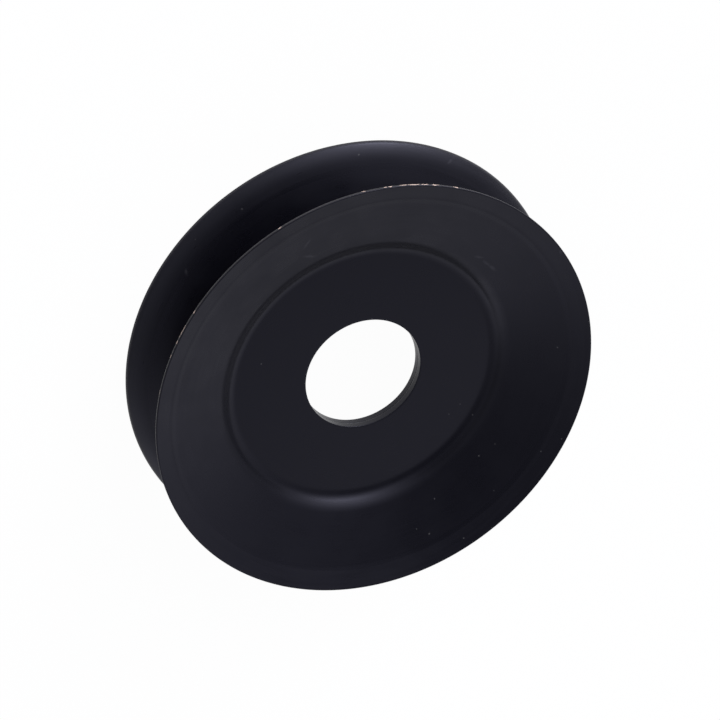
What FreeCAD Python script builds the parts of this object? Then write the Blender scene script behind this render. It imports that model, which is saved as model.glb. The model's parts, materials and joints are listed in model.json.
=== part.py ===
# Belt pulley of a lawn tractor: two dished steel pressings, back to back, with a plain bore.
# The frame has its origin in the bore, on the plane where the two webs meet, and +Z along the axis.
import FreeCAD
import Part
import Sketcher
import os
from math import cos, radians, sin

# Driving dimensions, in millimetres and degrees
SIZES = {
    "rim_radius": 63.5,
    "bore_radius": 16.9,
    "sheet": 2.0,
    "web_flat_radius": 37.2,
    "web_bend_radius": 4.0,
    "wall_angle": 46.0,
    "wall_length": 0.1,
    "shoulder_radius": 7.0,
    "flank_angle": 23.25,
    "rim_edge_radius": 0.3,
    "bore_roll_radius": 0.15,
    "bore_seam_chamfer": 0.15,
}

FULL_TURN = 360
HALF_TURN = 180
QUARTER_TURN = 90
TOLERANCE = 1e-4

# A constraint calls a side's start, end and centre 1, 2 and 3, and the sketch's horizontal axis -1
START, END, CENTRE = range(1, 4)
RADIAL_AXIS = -1


def make_sizes(doc):
    """The spreadsheet of driving dimensions, one named cell each."""
    sizes = doc.addObject("Spreadsheet::Sheet", "sizes")
    for row, (name, value) in enumerate(SIZES.items(), start=1):
        sizes.set(f"A{row}", name)
        sizes.set(f"B{row}", str(value))
        sizes.setAlias(f"B{row}", name)
    doc.recompute()
    return sizes


def origin_plane(body, role):
    """One of the body's own origin planes."""
    for feature in body.Origin.OriginFeatures:
        if feature.Role == role:
            return feature
    raise ValueError(f"no origin plane {role}")


def polar(length, angle):
    """A step of this length, at this angle in degrees above the radius."""
    return FreeCAD.Vector(length * cos(radians(angle)), length * sin(radians(angle)), 0)


def arc(centre, radius, first_angle, last_angle):
    """Anticlockwise arc between two angles in degrees."""
    circle = Part.Circle(centre, FreeCAD.Vector(0, 0, 1), radius)
    return Part.ArcOfCircle(circle, radians(first_angle), radians(last_angle))


def section_sides(sizes):
    """The section of one pressing as its sides, in order round the outline.

    Each side has a name, its shape, and the end where the outline enters it. The sheet runs from the
    bore along the flat web, up a bend and a short wall, over the shoulder, and along the flank of the
    belt groove to the rim. Its far side is the same line, one sheet lower.
    """
    wall_normal = sizes.wall_angle - QUARTER_TURN
    shoulder_outer = sizes.shoulder_radius + sizes.sheet

    bore_mouth = FreeCAD.Vector(sizes.bore_radius, sizes.sheet, 0)
    web_end = FreeCAD.Vector(sizes.web_flat_radius, sizes.sheet, 0)
    bend_centre = web_end + polar(sizes.web_bend_radius, QUARTER_TURN)
    wall_start = bend_centre + polar(sizes.web_bend_radius, wall_normal)
    wall_end = wall_start + polar(sizes.wall_length, sizes.wall_angle)
    shoulder_centre = wall_end + polar(shoulder_outer, wall_normal)
    flank_start = shoulder_centre + polar(shoulder_outer, sizes.flank_angle + QUARTER_TURN)
    flank_length = (sizes.rim_radius - flank_start.x) / cos(radians(sizes.flank_angle))
    rim_front = flank_start + polar(flank_length, sizes.flank_angle)

    rim_back = rim_front + polar(sizes.sheet / cos(radians(sizes.flank_angle)), -QUARTER_TURN)
    flank_back = shoulder_centre + polar(sizes.shoulder_radius, sizes.flank_angle + QUARTER_TURN)
    wall_back_end = shoulder_centre + polar(sizes.shoulder_radius, sizes.wall_angle + QUARTER_TURN)
    wall_back_start = bend_centre + polar(sizes.web_bend_radius + sizes.sheet, wall_normal)
    web_back = web_end + polar(sizes.sheet, -QUARTER_TURN)
    bore_seam = bore_mouth + polar(sizes.sheet, -QUARTER_TURN)

    bend = (-QUARTER_TURN, wall_normal)
    shoulder = (sizes.flank_angle + QUARTER_TURN, sizes.wall_angle + QUARTER_TURN)
    return [
        ("web", Part.LineSegment(bore_mouth, web_end), START),
        ("bend", arc(bend_centre, sizes.web_bend_radius, *bend), START),
        ("wall", Part.LineSegment(wall_start, wall_end), START),
        ("shoulder", arc(shoulder_centre, shoulder_outer, *shoulder), END),
        ("flank", Part.LineSegment(flank_start, rim_front), START),
        ("rim", Part.LineSegment(rim_front, rim_back), START),
        ("flank_back", Part.LineSegment(rim_back, flank_back), START),
        ("shoulder_back", arc(shoulder_centre, sizes.shoulder_radius, *shoulder), START),
        ("wall_back", Part.LineSegment(wall_back_end, wall_back_start), START),
        ("bend_back", arc(bend_centre, sizes.web_bend_radius + sizes.sheet, *bend), END),
        ("web_back", Part.LineSegment(web_back, bore_seam), START),
        ("bore", Part.LineSegment(bore_seam, bore_mouth), START),
    ]


class Section:
    """A closed, fully constrained sketch of one pressing's section."""

    def __init__(self, sketch, sides):
        self.sketch = sketch
        self.constraints = []
        self.formulas = []
        numbers = sketch.addGeometry([shape for _, shape, _ in sides])
        self.number = {side[0]: number for side, number in zip(sides, numbers)}
        self.join_sides(sides)

    def join_sides(self, sides):
        """Joins each side's far end to the next side's near end, smoothly where one is an arc."""
        for side, following in zip(sides, sides[1:] + sides[:1]):
            name, shape, entry = side
            next_name, next_shape, next_entry = following
            smooth = isinstance(shape, Part.ArcOfCircle) or isinstance(next_shape, Part.ArcOfCircle)
            kind = "Tangent" if smooth else "Coincident"
            leaving = END if entry == START else START
            self.hold(kind, self.number[name], leaving, self.number[next_name], next_entry)

    def hold(self, kind, *where):
        """A constraint without a name."""
        self.constraints.append(Sketcher.Constraint(kind, *where))

    def drive(self, name, formula, kind, *where):
        """A dimension that has its present value last, and follows a formula of the sizes."""
        self.formulas.append((len(self.constraints), name, formula))
        self.hold(kind, *where)

    def close(self):
        """Gives the sketch all its constraints at once, and ties the dimensions to the sizes."""
        self.sketch.addConstraint(self.constraints)
        for index, name, formula in self.formulas:
            self.sketch.renameConstraint(index, name)
            self.sketch.setExpression(f"Constraints.{name}", formula)


def constrain(section, sizes):
    """Holds the outline to the sizes: one sheet thick everywhere, with bends about common centres."""
    number = section.number
    for name in ("web", "web_back"):
        section.hold("Horizontal", number[name])
    for name in ("bore", "rim"):
        section.hold("Vertical", number[name])
    for name in ("wall", "flank"):
        section.hold("Parallel", number[name], number[f"{name}_back"])
    for name in ("bend", "shoulder"):
        section.hold("Coincident", number[name], CENTRE, number[f"{name}_back"], CENTRE)
    section.hold("PointOnObject", number["bore"], START, RADIAL_AXIS)

    drive = section.drive
    drive("bore_radius", "sizes.bore_radius", "DistanceX", number["bore"], START, sizes.bore_radius)
    drive("sheet", "sizes.sheet", "DistanceY", number["bore"], START, number["bore"], END, sizes.sheet)
    drive("web_flat", "sizes.web_flat_radius", "DistanceX", number["web"], END, sizes.web_flat_radius)
    drive("bend_radius", "sizes.web_bend_radius", "Radius", number["bend"], sizes.web_bend_radius)
    drive("wall_length", "sizes.wall_length", "Distance", number["wall"], sizes.wall_length)
    outer = sizes.shoulder_radius + sizes.sheet
    drive("shoulder_outer", "sizes.shoulder_radius + sizes.sheet", "Radius", number["shoulder"], outer)
    drive("rim_radius", "sizes.rim_radius", "DistanceX", number["rim"], START, sizes.rim_radius)
    for name in ("wall", "flank"):
        angle = radians(sizes.getPropertyByName(f"{name}_angle"))
        drive(f"{name}_angle", f"sizes.{name}_angle * 1 deg", "Angle", number[name], angle)
    section.close()


def circle_edge(shape, radius, height):
    """The name of the round edge of this radius that lies at this height."""
    for index, edge in enumerate(shape.Edges, start=1):
        curve = edge.Curve
        if not isinstance(curve, Part.Circle):
            continue
        if abs(curve.Radius - radius) < TOLERANCE and abs(curve.Center.z - height) < TOLERANCE:
            return f"Edge{index}"
    raise ValueError(f"no round edge of radius {radius} at height {height}")


def dress_edges(body, kind, name, corners, size, formula):
    """Rounds or chamfers the round edges that lie at these corners of the section."""
    body.Document.recompute()
    base = body.Tip
    edges = [circle_edge(base.Shape, corner.x, corner.y) for corner in corners]
    feature = body.newObject(kind, name)
    feature.Base = (base, edges)
    feature.setExpression(size, formula)
    body.Document.recompute()


def make_half(doc, sizes, label):
    """One dished pressing, its web resting on the plane of the origin."""
    body = doc.addObject("PartDesign::Body", label)
    body.Label = label
    sketch = body.newObject("Sketcher::SketchObject", f"{label}_section")
    sketch.AttachmentSupport = [(origin_plane(body, "XZ_Plane"), "")]
    sketch.MapMode = "FlatFace"
    section = Section(sketch, section_sides(sizes))
    constrain(section, sizes)
    doc.recompute()

    turned = body.newObject("PartDesign::Revolution", f"{label}_turned")
    turned.Profile = sketch
    turned.ReferenceAxis = (sketch, ["V_Axis"])
    turned.Angle = FULL_TURN

    rim = section.number["rim"]
    rim_corners = [sketch.getPoint(rim, START), sketch.getPoint(rim, END)]
    bore = section.number["bore"]
    seam, mouth = sketch.getPoint(bore, START), sketch.getPoint(bore, END)
    fillet = "PartDesign::Fillet"
    chamfer = "PartDesign::Chamfer"
    dress_edges(body, fillet, f"{label}_rim_edges", rim_corners, "Radius", "sizes.rim_edge_radius")
    dress_edges(body, fillet, f"{label}_bore_roll", [mouth], "Radius", "sizes.bore_roll_radius")
    dress_edges(body, chamfer, f"{label}_bore_seam", [seam], "Size", "sizes.bore_seam_chamfer")
    return body


def turn_over(body):
    """Lays the pressing upside down, its web still on the plane of the origin."""
    radial = FreeCAD.Vector(1, 0, 0)
    body.Placement = FreeCAD.Placement(FreeCAD.Vector(), FreeCAD.Rotation(radial, HALF_TURN))


def check(doc, bodies):
    """Stops before anything is written if the document holds a fault."""
    for item in doc.Objects:
        if {"Invalid", "Error"} & set(item.State):
            raise RuntimeError(f"{item.Label} is {item.State}")
    for body in bodies:
        if body.Shape.isNull() or not body.Shape.isValid() or len(body.Shape.Solids) != 1:
            raise RuntimeError(f"{body.Label} is not one valid solid")


def export(bodies):
    os.makedirs("parts", exist_ok=True)
    for body in bodies:
        body.Shape.exportStep(f"parts/{body.Label}.step")
        box = body.Shape.BoundBox
        print(f"{body.Label}: {body.Shape.Volume:.1f} mm3, z {box.ZMin:.3f} to {box.ZMax:.3f}")


def main():
    doc = FreeCAD.newDocument("lawn_tractor_pulley")
    sizes = make_sizes(doc)
    upper = make_half(doc, sizes, "upper_half_sheave")
    lower = make_half(doc, sizes, "lower_half_sheave")
    turn_over(lower)
    doc.recompute()
    bodies = [upper, lower]
    check(doc, bodies)
    export(bodies)


main()
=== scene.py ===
# %% [markdown]
# # A black enamelled V-belt pulley
#
# The object is a belt pulley of a lawn tractor: two steel discs, pressed to the same dished form and
# set back to back, so that their flanks make the belt groove. Both discs were dipped in black enamel.
# This file dresses the solid model of that pulley. Each step says what the real thing is, how it
# could be made, and why it is made this way here.

# %% Load the solid model
import json
from math import cos, radians, sin, tan

import bpy
import numpy as np
from mathutils import Matrix, Vector

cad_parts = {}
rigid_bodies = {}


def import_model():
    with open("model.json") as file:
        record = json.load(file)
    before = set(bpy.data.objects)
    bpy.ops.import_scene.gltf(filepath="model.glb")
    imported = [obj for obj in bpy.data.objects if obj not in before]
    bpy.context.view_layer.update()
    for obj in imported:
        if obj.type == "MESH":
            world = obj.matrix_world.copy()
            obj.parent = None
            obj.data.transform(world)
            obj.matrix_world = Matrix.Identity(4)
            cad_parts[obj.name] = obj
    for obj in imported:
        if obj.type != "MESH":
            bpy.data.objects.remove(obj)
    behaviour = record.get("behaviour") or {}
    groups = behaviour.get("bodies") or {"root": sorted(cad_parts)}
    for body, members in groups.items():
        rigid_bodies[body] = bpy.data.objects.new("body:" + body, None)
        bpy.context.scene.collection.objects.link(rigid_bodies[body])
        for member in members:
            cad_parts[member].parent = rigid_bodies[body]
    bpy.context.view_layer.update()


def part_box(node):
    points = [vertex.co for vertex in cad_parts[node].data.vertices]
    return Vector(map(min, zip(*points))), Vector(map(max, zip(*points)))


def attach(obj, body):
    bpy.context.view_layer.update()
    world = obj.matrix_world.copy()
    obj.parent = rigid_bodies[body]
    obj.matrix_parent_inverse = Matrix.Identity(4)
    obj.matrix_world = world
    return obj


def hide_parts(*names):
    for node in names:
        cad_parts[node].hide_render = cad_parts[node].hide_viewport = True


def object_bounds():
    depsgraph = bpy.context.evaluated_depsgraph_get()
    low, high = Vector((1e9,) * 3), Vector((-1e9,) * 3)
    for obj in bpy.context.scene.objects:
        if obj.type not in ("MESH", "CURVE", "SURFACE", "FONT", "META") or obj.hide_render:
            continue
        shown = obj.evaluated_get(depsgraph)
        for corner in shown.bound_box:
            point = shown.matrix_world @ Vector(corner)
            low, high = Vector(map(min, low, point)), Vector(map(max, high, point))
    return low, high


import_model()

MM = 0.001

# %% [markdown]
# ## The section of one disc
#
# A pressed disc is a sheet of one thickness that is bent a few times, so its section is a chain of
# straight runs and arcs. Going out from the bore, there is the flat web, a bend up to a short wall,
# the shoulder, and the long flank of the groove, which runs to the rim. The other side of the sheet
# is the same chain, one sheet lower, about the same centres.
#
# It could be traced from the solid model's mesh, but a chain of named sizes is easier to read, and it
# puts the points where the bends need them. The overall size is read from the solid model, and the
# sizes below are the ones that it was made to, apart from two edges. The one at the rim on the groove
# side is rounder, as punching leaves it, and the seam in the bore is narrower, as enamel fills it.

# %% Sizes of the section
UPPER, LOWER = "upper_half_sheave", "lower_half_sheave"
RIM_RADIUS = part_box(UPPER)[1].x
BORE_RADIUS = 16.9 * MM
SHEET = 2.0 * MM
WEB_FLAT_RADIUS = 37.2 * MM
WEB_BEND_RADIUS = 4.0 * MM
WALL_ANGLE = radians(46.0)
WALL_LENGTH = 0.1 * MM
SHOULDER_RADIUS = 7.0 * MM
FLANK_ANGLE = radians(23.25)
RIM_EDGE_RADIUS = 0.3 * MM
BACK_EDGE_RADIUS = 0.8 * MM
BORE_ROLL_RADIUS = 0.15 * MM
SEAM_CHAMFER = 0.04 * MM
# The flank has more points from here to the rim, for the fine forms that the press left there
FINE_FROM = 56.0 * MM
QUARTER = np.pi / 2
print(f"rim radius {RIM_RADIUS / MM:.2f} mm, sheet {SHEET / MM:.1f} mm")


# %% Steps, runs and arcs in the plane of the section
def step(length, angle):
    """A step in the section: radius grows by length times cosine, height by length times sine."""
    return np.array([length * np.cos(angle), length * np.sin(angle)])


def run(start, end, count):
    """A straight run of points, closer near its ends by a cosine law, without its last point."""
    share = (1 - np.cos(np.linspace(0, np.pi, count + 1)[:-1])) / 2
    return start + share[:, None] * (end - start)


def bend(centre, radius, first, last, count):
    """An arc of points about a centre, evenly spaced in angle, without its last point."""
    angle = np.linspace(first, last, count + 1)[:-1]
    return centre + radius * np.column_stack([np.cos(angle), np.sin(angle)])


print("shares of a run of four points:", run(np.zeros(1), np.ones(1), 4).ravel().round(2))


# %% The chain of the section
def section_parts():
    """The outline of one disc as rows of radius and height, in three parts that follow each other.

    The front goes from the bore's mouth to the rim, then comes the cut edge, and the back returns.
    """
    outer = SHOULDER_RADIUS + SHEET
    down = SHEET / np.cos(FLANK_ANGLE)
    web_end = np.array([WEB_FLAT_RADIUS, SHEET])
    bend_centre = web_end + step(WEB_BEND_RADIUS, QUARTER)
    wall_start = bend_centre + step(WEB_BEND_RADIUS, WALL_ANGLE - QUARTER)
    wall_end = wall_start + step(WALL_LENGTH, WALL_ANGLE)
    shoulder_centre = wall_end + step(outer, WALL_ANGLE - QUARTER)
    flank_start = shoulder_centre + step(outer, FLANK_ANGLE + QUARTER)
    fine_start = flank_start + step((FINE_FROM - flank_start[0]) / np.cos(FLANK_ANGLE), FLANK_ANGLE)
    rim_front = flank_start + step((RIM_RADIUS - flank_start[0]) / np.cos(FLANK_ANGLE), FLANK_ANGLE)
    flank_back = shoulder_centre + step(SHOULDER_RADIUS, FLANK_ANGLE + QUARTER)

    # A roll's centre lies its radius inside the rim, at the height that lets it touch the flank
    edge, back_edge = RIM_EDGE_RADIUS, BACK_EDGE_RADIUS
    front_inset = edge / np.tan((QUARTER - FLANK_ANGLE) / 2)
    back_inset = back_edge / np.tan((QUARTER + FLANK_ANGLE) / 2)
    front_roll = np.array([RIM_RADIUS - edge, rim_front[1] - front_inset])
    back_roll = np.array([RIM_RADIUS - back_edge, rim_front[1] - down + back_inset])

    bore_roll = np.array([BORE_RADIUS + BORE_ROLL_RADIUS, SHEET - BORE_ROLL_RADIUS])
    seam_outer = np.array([BORE_RADIUS + SEAM_CHAMFER, 0.0])
    seam_inner = np.array([BORE_RADIUS, SEAM_CHAMFER])
    front = np.vstack([
        bend(bore_roll, BORE_ROLL_RADIUS, 2 * QUARTER, QUARTER, 4),
        run(bore_roll + step(BORE_ROLL_RADIUS, QUARTER), web_end, 10),
        bend(bend_centre, WEB_BEND_RADIUS, -QUARTER, WALL_ANGLE - QUARTER, 12),
        bend(shoulder_centre, outer, WALL_ANGLE + QUARTER, FLANK_ANGLE + QUARTER, 12),
        run(flank_start, fine_start, 8),
        run(fine_start, front_roll + step(edge, FLANK_ANGLE + QUARTER), 30),
        bend(front_roll, edge, FLANK_ANGLE + QUARTER, 0, 5),
    ])
    cut_edge = run(front_roll + [edge, 0], back_roll + [back_edge, 0], 4)
    back = np.vstack([
        bend(back_roll, back_edge, 0, FLANK_ANGLE - QUARTER, 7),
        run(back_roll + step(back_edge, FLANK_ANGLE - QUARTER), fine_start - [0, down], 26),
        run(fine_start - [0, down], flank_back, 7),
        bend(shoulder_centre, SHOULDER_RADIUS, FLANK_ANGLE + QUARTER, WALL_ANGLE + QUARTER, 8),
        bend(bend_centre, WEB_BEND_RADIUS + SHEET, WALL_ANGLE - QUARTER, -QUARTER, 8),
        run(np.array([WEB_FLAT_RADIUS, 0.0]), seam_outer, 6),
        run(seam_outer, seam_inner, 2),
        run(seam_inner, bore_roll - [BORE_ROLL_RADIUS, 0], 4),
    ])
    return front, cut_edge, back


PARTS = section_parts()
print("points in front, on the cut edge and at the back:", [len(part) for part in PARTS])

# %% [markdown]
# ## What the press left
#
# A press tool doesn't give a perfect cone. Fine rings run round the flank near the rim, the flank sags
# a little before them, and where the sheet was punched out, its groove side draws away to the edge.
# A bump map could fake the rings, but not the way in which the sag and the drawn edge bend a
# reflection. So all three are real height, added to the section as functions of the radius.

# %% Rings, sag and drawn edge
# Each ring's radius, width and height
RINGS = [(58.40 * MM, 0.38 * MM, 0.013 * MM), (61.40 * MM, 0.60 * MM, 0.010 * MM)]
# The share of the rings that also shows on the groove side
RINGS_THROUGH = 0.3
SAG_FROM, SAG_DEEPEST, SAG = 44.0 * MM, 57.2 * MM, 0.17 * MM
DRAW_FROM, DRAW, DRAW_POWER = 58.2 * MM, 1.1 * MM, 3.4


def ring_height(radius):
    """Height of the fine rings: a sum of bell curves of the radius, nothing elsewhere."""
    return sum(rise * np.exp(-((radius - centre) / width) ** 2 / 2) for centre, width, rise in RINGS)


def sag_depth(radius):
    """Depth of the sag: it grows as a square to its deepest ring, and is gone again at the rim."""
    inner = np.clip((radius - SAG_FROM) / (SAG_DEEPEST - SAG_FROM), 0, 1) ** 2
    outer = np.clip((RIM_RADIUS - radius) / (RIM_RADIUS - SAG_DEEPEST), 0, 1)
    return SAG * inner * outer


def drawn_height(radius):
    """Height that the groove side is drawn away: a high power of the way out to the rim."""
    return DRAW * np.clip((radius - DRAW_FROM) / (RIM_RADIUS - DRAW_FROM), 0, 1) ** DRAW_POWER


def pressed(front, cut_edge, back):
    """The section as the press left it. The cut edge's rows are spread evenly between the two sides."""
    front, cut_edge, back = front.copy(), cut_edge.copy(), back.copy()
    front[:, 1] += ring_height(front[:, 0]) - sag_depth(front[:, 0])
    back[:, 1] += drawn_height(back[:, 0]) + RINGS_THROUGH * ring_height(back[:, 0])
    cut_edge[:, 1] = np.linspace(front[-1, 1], back[0, 1], len(cut_edge) + 2)[1:-1]
    return front, cut_edge, back


FRONT, CUT_EDGE, BACK = pressed(*PARTS)
SECTION = np.vstack([FRONT, CUT_EDGE, BACK])
print(f"section: {len(SECTION)} points, highest {SECTION[:, 1].max() / MM:.3f} mm")

# %% [markdown]
# ## Turning the section
#
# The disc is the section carried round the axis, as on a lathe. Blender's Screw modifier could do it,
# but one array operation gives every point exactly where it is wanted: radius times the cosine and
# sine of the angle, and the height as it is. The grid closes on itself both ways, so the mesh is shut.

# %% A turned surface
# Points round the axis, enough for the facets to stay within 0.001 mm of the rim's circle
AROUND = 600


def turned_grid(section, around):
    """Grid of points: first index along the section, second round the axis by equal angles."""
    angle = np.linspace(0, 2 * np.pi, around, endpoint=False)
    radius, height = section[:, :1], section[:, 1:]
    x = radius * np.cos(angle)
    y = radius * np.sin(angle)
    z = np.broadcast_to(height, x.shape)
    return np.stack([x, y, z], axis=-1)


def closed_quads(rows, columns):
    """Four-sided faces of a grid that closes on itself both ways, as the numbers of their corners."""
    i, j = np.meshgrid(np.arange(rows), np.arange(columns), indexing="ij")
    below, beside = (i + 1) % rows, (j + 1) % columns
    corners = [i * columns + j, i * columns + beside, below * columns + beside, below * columns + j]
    return np.stack(corners, axis=-1).reshape(-1, 4)


UPPER_GRID = turned_grid(SECTION, AROUND)
LOWER_GRID = UPPER_GRID * [1, 1, -1]
print("grid of one disc:", UPPER_GRID.shape)


# %% From a grid to an object
def enclosed_volume(points, quads):
    """Volume inside the faces, positive if they face outwards: triple products of half faces, over six."""
    a, b, c, d = (points[quads[:, k]] for k in range(4))
    halves = np.einsum("ij,ij->i", a, np.cross(b, c)) + np.einsum("ij,ij->i", a, np.cross(c, d))
    return halves.sum() / 6


def surface_object(name, grid):
    """A smooth mesh object from a grid that closes both ways, with its faces turned outwards."""
    rows, columns = grid.shape[:2]
    points = grid.reshape(-1, 3)
    quads = closed_quads(rows, columns)
    if enclosed_volume(points, quads) < 0:
        quads = quads[:, ::-1]
    mesh = bpy.data.meshes.new(name)
    mesh.from_pydata(points, [], quads)
    mesh.polygons.foreach_set("use_smooth", np.ones(len(quads), bool))
    mesh.update()
    piece = bpy.data.objects.new(name, mesh)
    bpy.context.scene.collection.objects.link(piece)
    volume = enclosed_volume(points, quads) / MM ** 3
    print(f"{name}: {2 * len(quads)} triangles, {volume:.0f} mm3")
    return piece


# %% The two discs
upper_disc = surface_object("upper_disc", UPPER_GRID)
lower_disc = surface_object("lower_disc", LOWER_GRID)
for piece, solid_node in ((upper_disc, UPPER), (lower_disc, LOWER)):
    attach(piece, "root")
    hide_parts(solid_node)
    print(f"{piece.name} stands for {solid_node}")

# %% [markdown]
# ## Black enamel
#
# The steel was dipped in a satin black enamel. Its body is a blue-black resin that returns almost no
# light, and what the eye sees is the soft reflection of the surroundings. A matting agent keeps that
# reflection weak, so the index of refraction is set lower than the 1.5 of a glossy enamel. Three
# things keep the finish from looking like plastic. The gloss varies a little from place to place, the
# surface has the slight orange peel of a dipped coat, and the press tool has drawn fine streaks in it.
#
# An image texture could carry all that, but it would need a map of the surface. Noise on the place in
# millimetres needs none, and keeps its real size on every piece.


# %% Colours and nodes
def linear(hex_colour):
    """The linear colour of an sRGB hex value, by the standard curve."""
    parts = np.array([int(hex_colour[k:k + 2], 16) for k in (1, 3, 5)]) / 255
    low, high = parts / 12.92, ((parts + 0.055) / 1.055) ** 2.4
    return (*np.where(parts <= 0.04045, low, high), 1.0)


def node(tree, kind, inputs=(), output=0, **properties):
    """Adds one node, and gives back one of its outputs.

    The inputs are a tuple for the first sockets in order, or a dictionary by name or number. Another
    node's socket is linked there, and anything else is set as the socket's own value.
    """
    made = tree.nodes.new(kind)
    for name, value in properties.items():
        setattr(made, name, value)
    filled = inputs.items() if isinstance(inputs, dict) else enumerate(inputs)
    for place, value in filled:
        if isinstance(value, bpy.types.NodeSocket):
            tree.links.new(value, made.inputs[place])
        else:
            made.inputs[place].default_value = value
    return made.outputs[output] if len(made.outputs) else made


ENAMEL_BODY = "#0a0a0f"
print("linear colour of the enamel's body:", np.round(linear(ENAMEL_BODY), 5))

# %% [markdown]
# ## Places on the coat
#
# Every pattern starts from the place on the disc in millimetres. Two more coordinates come from it.
# The distance from the axis places rings. A ring-shaped place, whose direction round the axis counts
# for little and whose radius counts in full, draws a noise out into long streaks along the circles,
# as a turning or pressing tool does.

# %% Place, radius and streak place
# A radian round the disc counts as this many millimetres of pattern, whatever the radius
STREAK_MM_PER_RADIAN = 2.5


def coat_places(tree):
    """The place in millimetres, the distance from the axis, and the place that is drawn out in rings."""
    metres = node(tree, "ShaderNodeTexCoord", output="Object")
    place = node(tree, "ShaderNodeVectorMath", {0: metres, "Scale": 1 / MM}, operation="SCALE")
    flat = node(tree, "ShaderNodeVectorMath", (place, (1, 1, 0)), operation="MULTIPLY")
    radius = node(tree, "ShaderNodeVectorMath", (flat,), operation="LENGTH", output="Value")
    direction = node(tree, "ShaderNodeVectorMath", (flat,), operation="NORMALIZE")
    circle = node(tree, "ShaderNodeVectorMath", {0: direction, "Scale": STREAK_MM_PER_RADIAN},
                  operation="SCALE")
    outward = node(tree, "ShaderNodeCombineXYZ", {"Z": radius})
    streak_place = node(tree, "ShaderNodeVectorMath", (circle, outward), operation="ADD")
    return place, radius, streak_place


print(f"at the rim, streaks are drawn out {RIM_RADIUS / MM / STREAK_MM_PER_RADIAN:.0f} times")

# %% [markdown]
# ## Marks of use
#
# The photographed pulley has been handled. The paint is knocked off its front rim in a row of small
# chips, there are soft grey scuffs on the flank, and specks of dust sit on it. They could be small
# meshes, but a chip has no height to speak of. So each mark is a small ellipsoid about a point on the
# surface, and paint inside one is changed, with an edge that a fine noise makes ragged.
#
# A mark is listed by its face, its angle round the axis in degrees, its radius (on the rim its height),
# its half length along the circle, its half width, all in millimetres, and how many degrees it is
# turned from the direction of the circle.

# %% Where the marks are
CHIPS = [
    ("rim", 243.7, 13.2, 0.7, 0.30, 0), ("rim", 238.2, 13.4, 0.5, 0.28, 0),
    ("rim", 237.0, 13.4, 0.6, 0.36, 0), ("rim", 233.6, 13.3, 1.1, 0.30, 0),
    ("rim", 231.0, 13.3, 1.7, 0.42, 0), ("rim", 228.2, 13.3, 1.1, 0.42, 0),
    ("rim", 225.6, 13.5, 0.6, 0.36, 0), ("rim", 224.6, 13.2, 0.5, 0.36, 0),
    ("rim", 219.8, 13.4, 0.8, 0.36, 0), ("rim", 265.5, 13.4, 0.5, 0.26, 0),
    ("rim", 294.0, 13.5, 0.5, 0.26, 0), ("rim", 299.5, 13.3, 2.0, 0.22, 0),
    ("rim", 302.6, 13.4, 0.5, 0.26, 0), ("rim", 306.6, 13.3, 0.5, 0.26, 0),
    ("rim", 316.5, 13.2, 0.8, 0.22, 0),
]
SCUFFS = [
    ("front", 195.6, 45.7, 1.4, 0.50, 29), ("front", 191.4, 45.7, 1.6, 0.55, 3),
    ("front", 188.4, 45.9, 1.8, 0.60, 3), ("front", 260.8, 51.7, 2.6, 0.45, 40),
    ("front", 261.5, 46.4, 3.2, 0.50, -43), ("front", 182.5, 62.8, 1.0, 0.45, -16),
    ("groove", 210.1, 61.7, 1.3, 0.45, 48), ("groove", 292.1, 58.4, 1.1, 0.45, 40),
]
SPECKS = [
    ("groove", 236.3, 61.0, 0.34, 0.22, 20), ("groove", 270.0, 59.4, 0.28, 0.20, -30),
    ("groove", 260.2, 62.8, 0.28, 0.18, 10), ("groove", 284.0, 61.5, 0.20, 0.15, 0),
    ("front", 151.0, 54.8, 0.30, 0.20, 30), ("front", 117.5, 38.9, 0.26, 0.20, 0),
    ("front", 120.2, 33.5, 0.22, 0.16, -40), ("front", 113.2, 32.1, 0.28, 0.16, 60),
    ("front", 105.8, 46.2, 0.30, 0.24, 15), ("front", 112.5, 47.6, 0.18, 0.18, 0),
    ("front", 117.8, 59.0, 0.24, 0.20, -20), ("front", 84.2, 47.4, 0.28, 0.20, 50),
    ("front", 100.5, 55.8, 0.18, 0.16, 0), ("front", 77.5, 55.1, 0.34, 0.24, 35),
    ("front", 85.5, 60.8, 0.28, 0.24, -10), ("front", 74.5, 52.4, 0.18, 0.18, 0),
    ("front", 123.5, 62.1, 0.24, 0.18, 0), ("front", 311.5, 31.2, 0.26, 0.24, 0),
]
print(f"{len(CHIPS)} chips, {len(SCUFFS)} scuffs, {len(SPECKS)} specks")


# %% The paint inside a mark
def mark_centre(face, degrees, radius_or_height):
    """The point of a mark in millimetres. A face's height is read from the section at its radius."""
    if face == "rim":
        radius, height = RIM_RADIUS / MM, radius_or_height
    else:
        radius = radius_or_height
        height = np.interp(radius, FRONT[:, 0] / MM, FRONT[:, 1] / MM)
    if face == "groove":
        # The groove side that shows is the lower disc's: the same height, one sheet less, upside down
        height = SHEET / MM / cos(FLANK_ANGLE) - height
    return radius * cos(radians(degrees)), radius * sin(radians(degrees)), height


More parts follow.
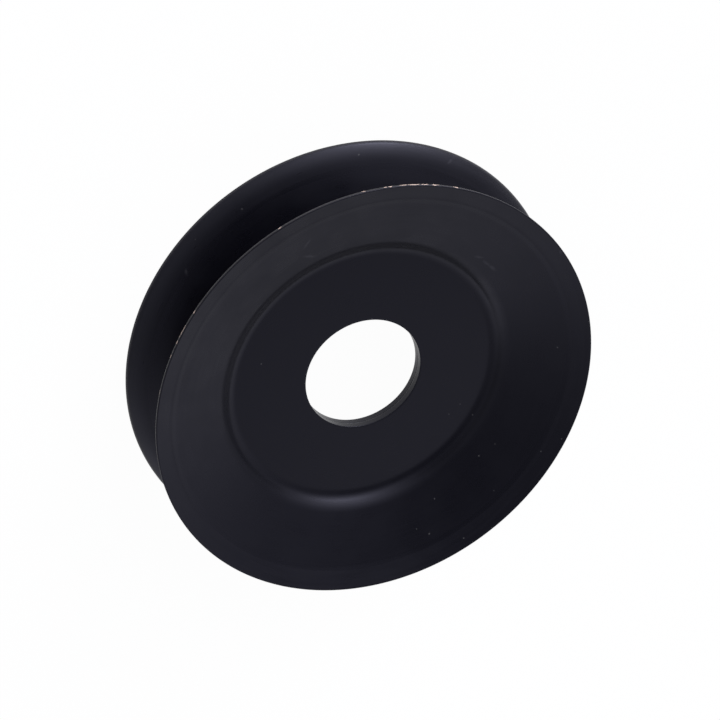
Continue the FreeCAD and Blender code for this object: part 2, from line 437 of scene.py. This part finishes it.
def marked(tree, place, ragged, marks, depth, fray, edge):
    """Share of the paint that is changed: 1 well inside a mark, 0 outside, soft between.

    A place's reach is its distance from a mark's centre as a share of the ellipsoid's size, so it is 1
    on the ellipsoid. The nearest mark counts. Ragged noise times the fray is added, and the share
    falls over the edge, from its second value to its first. The depth is the ellipsoid's half
    thickness, square to the surface.
    """
    nearest = None
    for face, degrees, radius_or_height, along, across, turn in marks:
        outward, upright = (depth, across) if face == "rim" else (across, depth)
        inside = node(tree, "ShaderNodeMapping", {
            "Vector": place,
            "Location": mark_centre(face, degrees, radius_or_height),
            "Rotation": (0, 0, radians(degrees + turn)),
            "Scale": (outward, along, upright),
        }, vector_type="TEXTURE")
        reach = node(tree, "ShaderNodeVectorMath", (inside,), operation="LENGTH", output="Value")
        if nearest is None:
            nearest = reach
        else:
            nearest = node(tree, "ShaderNodeMath", (nearest, reach), operation="MINIMUM")
    frayed = node(tree, "ShaderNodeMath", (ragged, fray), operation="MULTIPLY")
    ragged_reach = node(tree, "ShaderNodeMath", (nearest, frayed), operation="ADD")
    return node(tree, "ShaderNodeMapRange", (ragged_reach, *edge), interpolation_type="SMOOTHSTEP")


print("middle of the first scuff, in mm:", np.round(mark_centre(*SCUFFS[0][:3]), 2))

# %% [markdown]
# ## Rings of dust and wear
#
# Some changes of the coat follow the shape, so they are rings. The belt and hands rub the flank near
# the rim, and the coat is thin on the cut edge. Three rings are painted light: a pale band in the
# crease that lifts its shade, a painted highlight on the cut edge, and a lighter, bluer painted
# reflection on the bore's wall. Each ring is a soft step of the radius, or two of them, one that rises
# and one that falls. Painting them by hand on the mesh would do as well, but would be lost when a
# size changes.

# %% Soft rings
# Radii in millimetres: where each step starts and where it is whole
RUBBED = (56.0, 60.5)
DUSTY = (57.5, 65.0)
# The cut edge: a thinner, rougher coat, whose lighter veil is also a painted highlight along the edge
CUT_EDGE_BARE_AND_SHEEN = (RIM_RADIUS / MM - 0.20, RIM_RADIUS / MM - 0.04)
# The bore's wall: a lighter, bluer veil that is a painted reflection
BORE_REFLECTION = (BORE_RADIUS / MM + 0.13, BORE_RADIUS / MM + 0.05)
# A pale band of painted light in the crease, which lifts the shade there
CREASE_LIGHT_RISE, CREASE_LIGHT_FALL = (38.9, 39.9), (42.0, 40.9)
BRIGHT_RISE, BRIGHT_FALL = (56.6, 57.6), (58.5, 57.9)
DULL_RISE, DULL_FALL = (58.2, 58.6), (59.5, 58.9)
# Depths below a cone of the flank's slope through the origin. The front of the flank lies 13.2 to
# 13.4 mm below it and the groove side 14.3 to 15.4 mm, so this step tells the two apart.
GROOVE_SIDE = (13.6, 14.1)
# A power that keeps the dust thin until close to the rim
DUSTY_POWER = 1.5
# Rubbing follows the streaks: noise between these values gives a share between the other two
RUBBED_STREAKS = (0.35, 0.70, 0.5, 1.0)


def ring_band(tree, radius, rise, fall):
    """A soft ring on the disc: one step of the radius that rises, times one that falls."""
    inner = node(tree, "ShaderNodeMapRange", (radius, *rise), interpolation_type="SMOOTHSTEP")
    outer = node(tree, "ShaderNodeMapRange", (radius, *fall), interpolation_type="SMOOTHSTEP")
    return node(tree, "ShaderNodeMath", (inner, outer), operation="MULTIPLY")


def rubbed_share(tree, radius, streaks):
    """Rubbing near the rim: a step of the radius, times a step of the streaks."""
    near_rim = node(tree, "ShaderNodeMapRange", (radius, *RUBBED), interpolation_type="SMOOTHSTEP")
    uneven = node(tree, "ShaderNodeMapRange", (streaks, *RUBBED_STREAKS), interpolation_type="SMOOTHSTEP")
    return node(tree, "ShaderNodeMath", (near_rim, uneven), operation="MULTIPLY")


def dusty_share(tree, place, radius):
    """Dust on the groove side near the rim.

    The groove side lies lower than the front for its radius: radius times the flank's slope, less the
    distance from the middle plane, is larger there. A step of that is multiplied by a power of a step
    of the radius.
    """
    height = node(tree, "ShaderNodeSeparateXYZ", (place,), output="Z")
    distance = node(tree, "ShaderNodeMath", (height,), operation="ABSOLUTE")
    cone = node(tree, "ShaderNodeMath", (radius, tan(FLANK_ANGLE)), operation="MULTIPLY")
    below = node(tree, "ShaderNodeMath", (cone, distance), operation="SUBTRACT")
    groove = node(tree, "ShaderNodeMapRange", (below, *GROOVE_SIDE), interpolation_type="SMOOTHSTEP")
    near_rim = node(tree, "ShaderNodeMapRange", (radius, *DUSTY), interpolation_type="SMOOTHSTEP")
    dust = node(tree, "ShaderNodeMath", (near_rim, DUSTY_POWER), operation="POWER")
    return node(tree, "ShaderNodeMath", (groove, dust), operation="MULTIPLY")


print(f"bare rim from a radius of {CUT_EDGE_BARE_AND_SHEEN[0]:.2f} mm, bare bore up to {BORE_REFLECTION[0]:.2f} mm")

# %% [markdown]
# ## Colour, gloss and relief
#
# The colour is the blue-black body with thin veils over it, one for each kind of dust, wear and mark,
# and three of painted light: in the crease, on the cut edge and in the bore.
# A veil covers only a few hundredths, because dust on black shows from a very thin layer. Only a chip
# covers nearly all, with the pinkish grey of primer and steel.
#
# The gloss is satin. It is a little cloudy, drawn out in streaks, sharper on the ring that the tool
# burnished, duller on the next one, and dull where the paint is gone. The relief is the orange peel
# of a dipped coat and the streaks, both a micron or two high.

# %% Colour
CHIP_PRIMER = "#c9b3a2"


def coat_colour(tree, veils):
    """The body's colour under thin veils: each covers its cover times its share with its own paint."""
    colour = linear(ENAMEL_BODY)
    for cover, share, paint in veils:
        covered = node(tree, "ShaderNodeMath", (share, cover), operation="MULTIPLY")
        colour = node(tree, "ShaderNodeMix", {0: covered, 6: colour, 7: linear(paint)},
                      output=2, data_type="RGBA")
    return colour


print("linear colour of a chip:", np.round(linear(CHIP_PRIMER), 3))

# %% Gloss
# Noise between the first two values gives a roughness between the other two
CLOUD_ROUGHNESS = (0.25, 0.75, 0.235, 0.325)
STREAK_ROUGHNESS = (0.2, 0.8, 0.0, 0.05)
# What the rings add to the roughness
DUSTY_ROUGHNESS, BRIGHT_ROUGHNESS, DULL_ROUGHNESS = 0.1, -0.09, 0.07
# The roughness where the coat is thin or gone
CHIP_ROUGHNESS, CUT_EDGE_ROUGHNESS = 0.6, 0.5


def coat_roughness(tree, radius, clouds, streaks, dusty, chipped, cut_edge):
    """Roughness of the coat: clouds plus streaks plus rings, or that of a bare place where it is more."""
    cloudy = node(tree, "ShaderNodeMapRange", (clouds, *CLOUD_ROUGHNESS), interpolation_type="SMOOTHSTEP")
    streaky = node(tree, "ShaderNodeMapRange", (streaks, *STREAK_ROUGHNESS),
                   interpolation_type="SMOOTHSTEP")
    rough = node(tree, "ShaderNodeMath", (cloudy, streaky), operation="ADD")
    bright_ring = ring_band(tree, radius, BRIGHT_RISE, BRIGHT_FALL)
    dull_ring = ring_band(tree, radius, DULL_RISE, DULL_FALL)
    rings = (dusty, DUSTY_ROUGHNESS), (bright_ring, BRIGHT_ROUGHNESS), (dull_ring, DULL_ROUGHNESS)
    for share, more in rings:
        rough = node(tree, "ShaderNodeMath", (share, more, rough), operation="MULTIPLY_ADD")
    for share, bare in ((chipped, CHIP_ROUGHNESS), (cut_edge, CUT_EDGE_ROUGHNESS)):
        least = node(tree, "ShaderNodeMath", (share, bare), operation="MULTIPLY")
        rough = node(tree, "ShaderNodeMath", (rough, least), operation="MAXIMUM")
    return rough


print(f"roughness of the plain coat: {CLOUD_ROUGHNESS[2]} to {CLOUD_ROUGHNESS[3] + STREAK_ROUGHNESS[3]}")

# %% Relief
# In millimetres: how wide and how high a lump of the peel is, and how high the streaks are
PEEL_LUMP, PEEL_HEIGHT = 1.111, 0.0016
STREAK_HEIGHT = 0.0010


def coat_relief(tree, place, streaks):
    """The bent normal of the coat: lumps of orange peel plus the streaks, as heights in millimetres."""
    lumps = node(tree, "ShaderNodeTexNoise", {"Vector": place, "Scale": 1 / PEEL_LUMP, "Detail": 2.0})
    peel = node(tree, "ShaderNodeMath", (lumps, PEEL_HEIGHT), operation="MULTIPLY")
    height = node(tree, "ShaderNodeMath", (streaks, STREAK_HEIGHT, peel), operation="MULTIPLY_ADD")
    return node(tree, "ShaderNodeBump", {"Height": height, "Strength": 1.0, "Distance": MM})


print(f"orange peel: lumps of {PEEL_LUMP:.1f} mm, {1000 * PEEL_HEIGHT:.1f} microns high")

# %% The whole enamel
# Sizes of the other noises in millimetres: a cloud, the space between streaks, a tooth of a ragged edge
CLOUD_SIZE, STREAK_SPACE, RAGGED_TOOTH = 9.09, 0.769, 0.4545
ENAMEL_IOR = 1.28
GLOSS_TINT = "#eaeaff"


def black_enamel():
    """Satin black enamel on pressed steel: near black, with a soft cool sheen and signs of handling."""
    material = bpy.data.materials.new("black_enamel")
    material.use_nodes = True
    tree = material.node_tree
    place, radius, streak_place = coat_places(tree)
    clouds = node(tree, "ShaderNodeTexNoise", {"Vector": place, "Scale": 1 / CLOUD_SIZE, "Detail": 3.0})
    streaks = node(tree, "ShaderNodeTexNoise",
                   {"Vector": streak_place, "Scale": 1 / STREAK_SPACE, "Detail": 2.0})
    ragged = node(tree, "ShaderNodeTexNoise", {"Vector": place, "Scale": 1 / RAGGED_TOOTH, "Detail": 2.0})

    dusty = dusty_share(tree, place, radius)
    cut_edge = node(tree, "ShaderNodeMapRange", (radius, *CUT_EDGE_BARE_AND_SHEEN), interpolation_type="SMOOTHSTEP")
    # The bore's wall, where a lighter, bluer veil paints a reflection
    bore_reflection = node(tree, "ShaderNodeMapRange", (radius, *BORE_REFLECTION), interpolation_type="SMOOTHSTEP")
    chipped = marked(tree, place, ragged, CHIPS, depth=0.6, fray=1.1, edge=(1.65, 1.35))
    scuffed = marked(tree, place, ragged, SCUFFS, depth=1.2, fray=1.0, edge=(1.7, 0.6))
    specked = marked(tree, place, ragged, SPECKS, depth=0.6, fray=0.6, edge=(1.3, 1.0))
    # For each veil: how much it covers at most, where it lies, and its own paint
    colour = coat_colour(tree, [
        (0.008, rubbed_share(tree, radius, streaks), "#7d7d86"),
        (0.050, dusty, "#85858c"),
        # Thinner coat on the cut edge, and a painted highlight along it
        (0.060, cut_edge, "#8a8683"),
        # Painted light: a pale band in the crease that lifts its shade
        (0.008, ring_band(tree, radius, CREASE_LIGHT_RISE, CREASE_LIGHT_FALL), "#8c8c92"),
        # Painted reflection: the bore's wall lighter and bluer
        (0.022, bore_reflection, "#a0a0ac"),
        (0.050, scuffed, "#9a9aa0"),
        (0.085, specked, "#b9b8b4"),
        (0.850, chipped, CHIP_PRIMER),
    ])
    roughness = coat_roughness(tree, radius, clouds, streaks, dusty, chipped, cut_edge)

    shader = tree.nodes["Principled BSDF"]
    tree.links.new(colour, shader.inputs["Base Color"])
    tree.links.new(roughness, shader.inputs["Roughness"])
    tree.links.new(coat_relief(tree, place, streaks), shader.inputs["Normal"])
    shader.inputs["IOR"].default_value = ENAMEL_IOR
    shader.inputs["Specular Tint"].default_value = linear(GLOSS_TINT)
    print(f"{material.name}: {len(tree.nodes)} nodes")
    return material


enamel = black_enamel()
for piece in (upper_disc, lower_disc):
    piece.data.materials.append(enamel)

# %% [markdown]
# ## Camera
#
# The pulley lies flat on its lower rim, and the photograph looks down on it from 53 degrees above
# the floor, through a long lens. The picture was also turned: the camera is rolled far over, so that
# the disc seems to stand. A Track To constraint could aim the camera, but it knows no roll, so the
# camera's three axes are worked out and set as one matrix.

# %% Camera
CAMERA_ELEVATION = radians(52.71)
CAMERA_ROLL = radians(143.70)
CAMERA_DISTANCE = 770.8 * MM
CAMERA_AIM = Vector((-1.48, -3.08, 0.0)) * MM
LENS_MM = 140.0
SENSOR_MM = 36.0


def place_camera():
    """A camera south of the aim point, raised by its elevation, then rolled about its own view line."""
    across = Vector((1, 0, 0))
    upward = Vector((0, sin(CAMERA_ELEVATION), cos(CAMERA_ELEVATION)))
    back = Vector((0, -cos(CAMERA_ELEVATION), sin(CAMERA_ELEVATION)))
    right = cos(CAMERA_ROLL) * across + sin(CAMERA_ROLL) * upward
    up = cos(CAMERA_ROLL) * upward - sin(CAMERA_ROLL) * across
    data = bpy.data.cameras.new("camera")
    data.lens = LENS_MM
    data.sensor_width = SENSOR_MM
    camera = bpy.data.objects.new("camera", data)
    turn = Matrix((right, up, back)).transposed().to_4x4()
    camera.matrix_world = Matrix.Translation(CAMERA_AIM + back * CAMERA_DISTANCE) @ turn
    bpy.context.scene.collection.objects.link(camera)
    bpy.context.scene.camera = camera
    return camera


camera = place_camera()
print("camera stands at", [round(part, 3) for part in camera.location])

# %% [markdown]
# ## Floor
#
# The product was shot on a white table that the picture shows as pure white. More light would burn
# the table out, but it would also wash the black enamel grey. So the floor is plain white paper for
# the light that falls on the object and for its shadow, and the camera sees it nearly all as a white
# of its own. Reflections and anything seen through glass get that white too.

# %% Floor
FLOOR_HALF = 1.5
FLOOR_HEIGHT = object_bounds()[0][2]
# The share of the floor's own white that the camera sees. The rest is lit paper, which has the shadow.
FLOOR_WHITE = 0.97
WHITE = (1, 1, 1, 1)


def white_paper():
    """Matt white paper for the light, and a plain white of strength 1 for eyes and reflections."""
    material = bpy.data.materials.new("white_paper")
    material.use_nodes = True
    tree = material.node_tree
    tree.nodes.clear()
    seen = 0.0
    for ray in ("Is Camera Ray", "Is Glossy Ray", "Is Transmission Ray"):
        this_ray = node(tree, "ShaderNodeLightPath", output=ray)
        seen = node(tree, "ShaderNodeMath", (seen, this_ray), operation="MAXIMUM")
    share = node(tree, "ShaderNodeMath", (seen, FLOOR_WHITE), operation="MULTIPLY")
    paper = node(tree, "ShaderNodeBsdfDiffuse", {"Color": linear("#fafafa")})
    white = node(tree, "ShaderNodeEmission", {"Color": WHITE, "Strength": 1.0})
    surface = node(tree, "ShaderNodeMixShader", (share, paper, white))
    node(tree, "ShaderNodeOutputMaterial", {"Surface": surface})
    return material


def make_floor():
    """A square plane that the lower rim stands on."""
    signs = ((-1, -1), (1, -1), (1, 1), (-1, 1))
    corners = [(x * FLOOR_HALF, y * FLOOR_HALF, FLOOR_HEIGHT) for x, y in signs]
    mesh = bpy.data.meshes.new("floor")
    mesh.from_pydata(corners, [], [(0, 1, 2, 3)])
    mesh.materials.append(white_paper())
    floor = bpy.data.objects.new("floor", mesh)
    bpy.context.scene.collection.objects.link(floor)
    return floor


floor = make_floor()
print(f"{floor.name} at a height of {floor.data.vertices[0].co.z / MM:.2f} mm")

# %% [markdown]
# ## Light
#
# The table stood in a light tent: white cloth with soft windows of light round it. A black satin
# object shows little else than what stands round it, so the windows decide where it looks grey and
# where it looks black. Area lamps would leave hard borders in the gloss. Here the tent is the world,
# and each window is brightest in its middle and falls off smoothly. Its light is bright times e to a
# power, and the power is narrow times the cosine of the angle from its middle, less narrow. The
# camera sees plain white.

# %% World
# Where each window stands round the pulley, in degrees: azimuth from the X axis, elevation,
# how narrow it is, and how bright its middle is
WINDOWS = [
    (208, 32, 10.0, 4.1),
    (207, 10, 40.0, 21.0),
    (322, 46, 7.0, 0.57),
    (45, 24, 5.0, 1.01),
    (24, 16, 12.0, 0.8),
    (108, 30, 6.2, 1.16),
    (155, 36, 12.0, 0.15),
]
TENT_WHITE = "#f4f4ff"


def light_tent():
    """The tent round the table: white cloth, lit through by soft windows of light."""
    world = bpy.data.worlds.new("tent")
    world.use_nodes = True
    tree = world.node_tree
    tree.nodes.clear()
    sight = node(tree, "ShaderNodeTexCoord", output="Generated")
    light = 0.0
    for azimuth, elevation, narrow, bright in WINDOWS:
        level, turn = radians(elevation), radians(azimuth)
        middle = (cos(level) * cos(turn), cos(level) * sin(turn), sin(level))
        near = node(tree, "ShaderNodeVectorMath", (sight, middle), operation="DOT_PRODUCT", output="Value")
        power = node(tree, "ShaderNodeMath", (near, narrow, -narrow), operation="MULTIPLY_ADD")
        fall = node(tree, "ShaderNodeMath", (power,), operation="EXPONENT")
        light = node(tree, "ShaderNodeMath", (fall, bright, light), operation="MULTIPLY_ADD")
    camera_ray = node(tree, "ShaderNodeLightPath", output="Is Camera Ray")
    tent = node(tree, "ShaderNodeBackground", {"Color": linear(TENT_WHITE), "Strength": light})
    white = node(tree, "ShaderNodeBackground", {"Color": WHITE, "Strength": 1.0})
    seen = node(tree, "ShaderNodeMixShader", (camera_ray, tent, white))
    node(tree, "ShaderNodeOutputWorld", {"Surface": seen})
    bpy.context.scene.world = world


light_tent()
bpy.context.scene.view_settings.view_transform = "Standard"
print(f"{len(WINDOWS)} windows of light")
